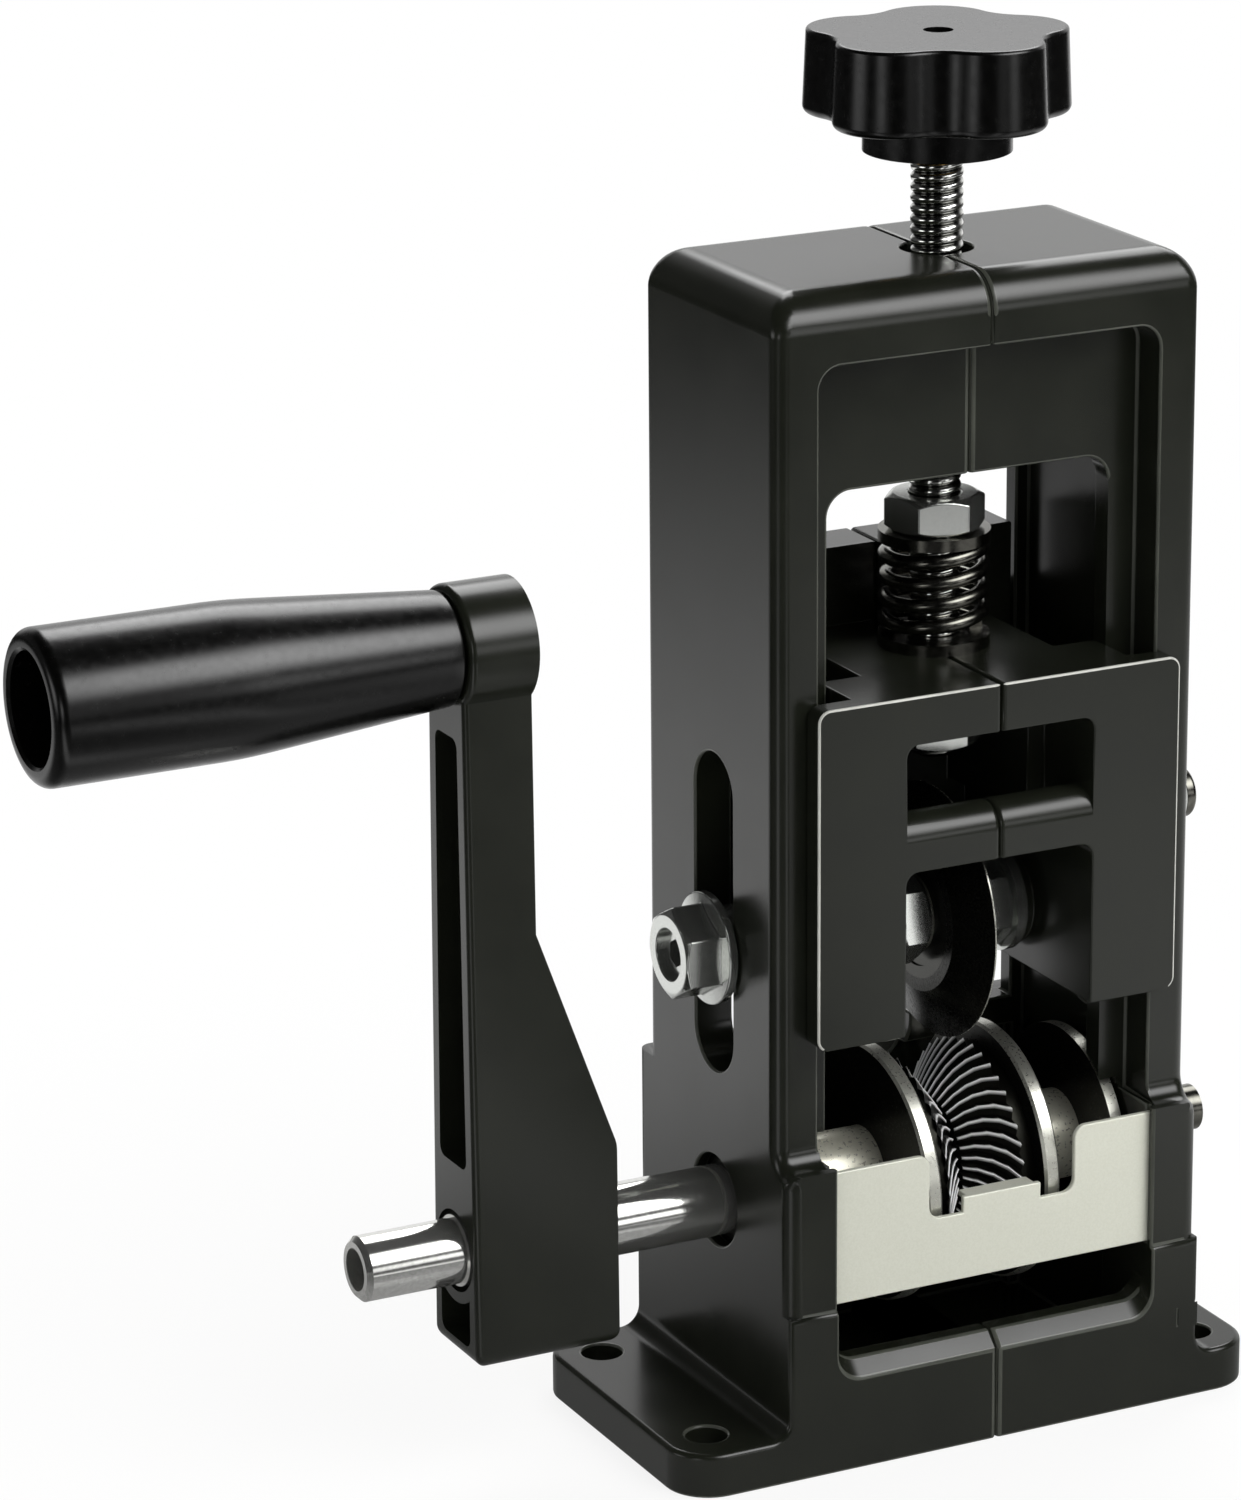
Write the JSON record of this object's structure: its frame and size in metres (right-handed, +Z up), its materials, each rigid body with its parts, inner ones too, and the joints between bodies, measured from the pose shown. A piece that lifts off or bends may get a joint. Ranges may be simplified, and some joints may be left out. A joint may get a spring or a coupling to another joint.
{
  "type": "hand crank wire stripper",
  "caption": "Bench wire stripper: a crank turns a knurled grooved roller in a tall cast column, and a star knob lowers a spring-loaded carriage with a disc blade onto the wire.",
  "frame": {"origin": "centre of the four bench holes, on the underside of the base", "axes": "+X along the drive shaft away from the crank, -Y towards the front where wire goes in, +Z up the column along the knob screw"},
  "size_m": [0.2428, 0.0646, 0.2692],
  "materials": {
    "black_casting": "semi-gloss black paint on die-cast aluminium",
    "black_oxide_steel": "blackened steel",
    "knurled_steel": "blackened steel with bright tooth crests",
    "turned_steel": "turned steel with a bright rim",
    "bright_steel": "bright ground steel",
    "zinc_plated_steel": "bright zinc plating",
    "ground_blade_steel": "ground tool steel",
    "satin_sheet_steel": "satin stainless sheet",
    "bearing_steel": "ground bearing steel",
    "gloss_black_plastic": "gloss black moulded plastic",
    "brass_insert": "turned brass"
  },
  "bodies": {
    "frame": {"left_frame_half": "black_casting", "right_frame_half": "black_casting", "frame_screws": "black_oxide_steel", "guide_plate": "satin_sheet_steel", "gib_screw": "black_oxide_steel", "gib_lock_nut": "zinc_plated_steel", "lift_nut": "zinc_plated_steel", "left_shaft_bearing_outer": "bearing_steel", "right_shaft_bearing_outer": "bearing_steel"},
    "drive": {"drive_shaft": "bright_steel", "hub_sleeve_left": "bright_steel", "hub_sleeve_right": "bright_steel", "guard_disc": "turned_steel", "shaft_end_collar": "zinc_plated_steel", "shaft_end_washer": "zinc_plated_steel", "shaft_end_screw": "black_oxide_steel", "crank_arm": "black_casting", "crank_set_screw": "black_oxide_steel", "handle_bolt": "zinc_plated_steel", "handle_washer": "black_oxide_steel", "left_roller_rim": "turned_steel", "right_roller_rim": "turned_steel", "left_knurled_roller": "knurled_steel", "right_knurled_roller": "knurled_steel", "left_shaft_bearing_inner": "bearing_steel", "right_shaft_bearing_inner": "bearing_steel"},
    "handle": {"handle_grip": "gloss_black_plastic"},
    "spring_seat": {"upper_spring_washer": "zinc_plated_steel", "spring": "black_oxide_steel"},
    "carriage": {"left_carriage_half": "black_casting", "right_carriage_half": "black_casting", "carriage_screws": "black_oxide_steel", "blade_axle": "zinc_plated_steel", "axle_flange_nut": "zinc_plated_steel", "axle_washer": "zinc_plated_steel", "left_slot_bushing": "zinc_plated_steel", "right_slot_bushing": "zinc_plated_steel", "left_blade_spacer": "zinc_plated_steel", "right_blade_spacer": "zinc_plated_steel", "left_blade_nut": "zinc_plated_steel", "right_blade_nut": "zinc_plated_steel", "left_blade_washer": "zinc_plated_steel", "right_blade_washer": "zinc_plated_steel", "blade_bearing_inner": "bearing_steel", "lower_spring_washer": "zinc_plated_steel"},
    "blade": {"cutting_blade": "ground_blade_steel", "blade_bearing_outer": "bearing_steel"},
    "screw": {"adjusting_screw": "bright_steel", "upper_nut": "zinc_plated_steel", "lower_washer": "zinc_plated_steel", "lower_nut": "zinc_plated_steel", "star_knob": "gloss_black_plastic", "knob_insert": "brass_insert"}
  },
  "joints": [
    {"name": "crank_spin", "type": "hinge", "parent": "frame", "child": "drive", "pos_m": [0.004, -0.0013, 0.0468], "axis": [1, 0, 0], "continuous": true},
    {"name": "handle_spin", "type": "hinge", "parent": "drive", "child": "handle", "pos_m": [-0.136, -0.0013, 0.1649], "axis": [1, 0, 0], "continuous": true},
    {"name": "blade_height", "type": "slide", "parent": "frame", "child": "spring_seat", "axis": [0, 0, 1], "range_m": [-0.0125, 0.007]},
    {"name": "knob_turn", "type": "hinge", "parent": "spring_seat", "child": "screw", "pos_m": [0.0062, -0.0013, 0.2], "axis": [0, 0, 1], "range_deg": [-2251, 1261]},
    {"name": "blade_float", "type": "slide", "parent": "spring_seat", "child": "carriage", "axis": [0, 0, 1], "range_m": [0, 0.004], "stiffness_N_per_m": 12000, "springref_m": -0.002, "deforming": ["spring"]},
    {"name": "blade_spin", "type": "hinge", "parent": "carriage", "child": "blade", "pos_m": [0.0062, -0.0013, 0.0982], "axis": [1, 0, 0], "continuous": true}
  ],
  "couplings": [
    {"joint": "knob_turn", "follows": "blade_height", "rad_per_m": 3141.6}
  ]
}
